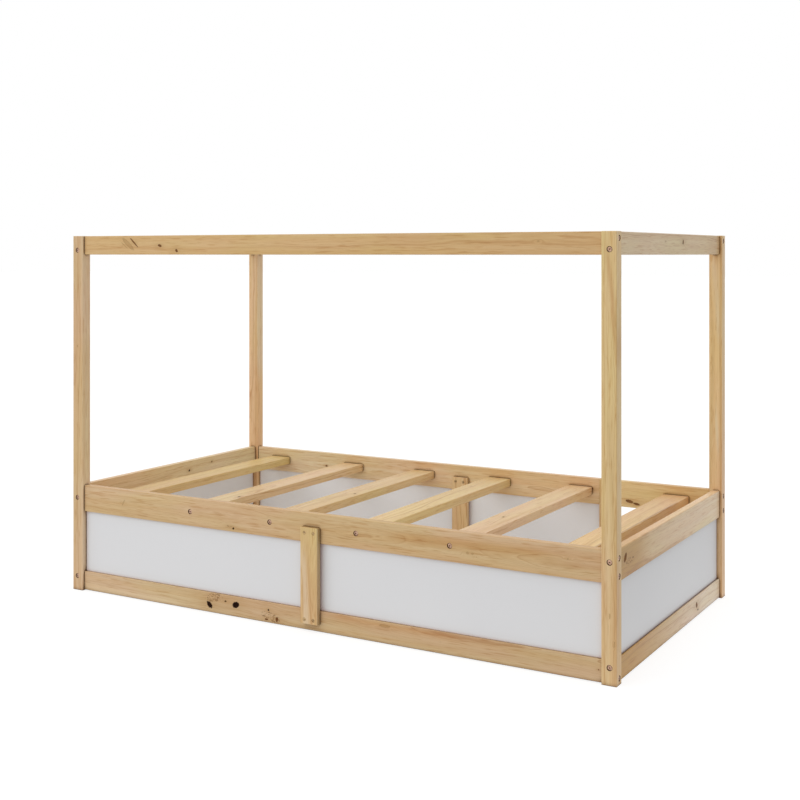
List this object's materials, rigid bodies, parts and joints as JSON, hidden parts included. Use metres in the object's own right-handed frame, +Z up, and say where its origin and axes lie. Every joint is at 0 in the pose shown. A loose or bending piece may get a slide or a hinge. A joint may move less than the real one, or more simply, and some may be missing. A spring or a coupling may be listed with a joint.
{
  "type": "child's canopy bed",
  "caption": "Low child's bed in pine with tall corner posts joined by a top frame, bed rails with cross slats, white side panels and an entry opening in one long side.",
  "frame": {"origin": "on the floor, at the middle of the bed's length and width", "axes": "+X along the length towards the end with the entry opening, +Y towards the long side that has the entry opening, +Z up"},
  "size_m": [2.02, 1.08, 1.248],
  "materials": {
    "pine": "clear satin lacquer over solid pine with visible grain and knots",
    "white_panel": "thin fibreboard with a smooth white satin coating",
    "steel": "zinc-plated, satin",
    "screw_steel": "yellow zinc-plated, satin",
    "beech": "unfinished turned beech"
  },
  "bodies": {
    "root": {"post_front_left": "pine", "post_front_right": "pine", "post_back_left": "pine", "post_back_right": "pine", "post_entry": "pine", "top_rail_front": "pine", "top_rail_back": "pine", "top_rail_left": "pine", "top_rail_right": "pine", "bed_rail_front": "pine", "bed_rail_back": "pine", "bed_rail_entry": "pine", "bed_rail_left": "pine", "bed_rail_right": "pine", "bottom_rail_front": "pine", "bottom_rail_back": "pine", "bottom_rail_left": "pine", "bottom_rail_right": "pine", "batten_front_outer": "pine", "batten_front_inner": "pine", "batten_back_outer": "pine", "batten_back_inner": "pine", "slat_1": "pine", "slat_2": "pine", "slat_3": "pine", "slat_4": "pine", "slat_5": "pine", "slat_6": "pine", "panel_front_left": "white_panel", "panel_front_right": "white_panel", "panel_back_left": "white_panel", "panel_back_right": "white_panel", "panel_end_left": "white_panel", "panel_end_right": "white_panel", "long_rail_bolts": "steel", "short_rail_bolts": "steel", "slat_bolts": "steel", "long_rail_nuts": "steel", "short_rail_nuts": "steel", "slat_nuts": "steel", "batten_screws": "screw_steel", "wood_dowels": "beech"}
  },
  "joints": []
}
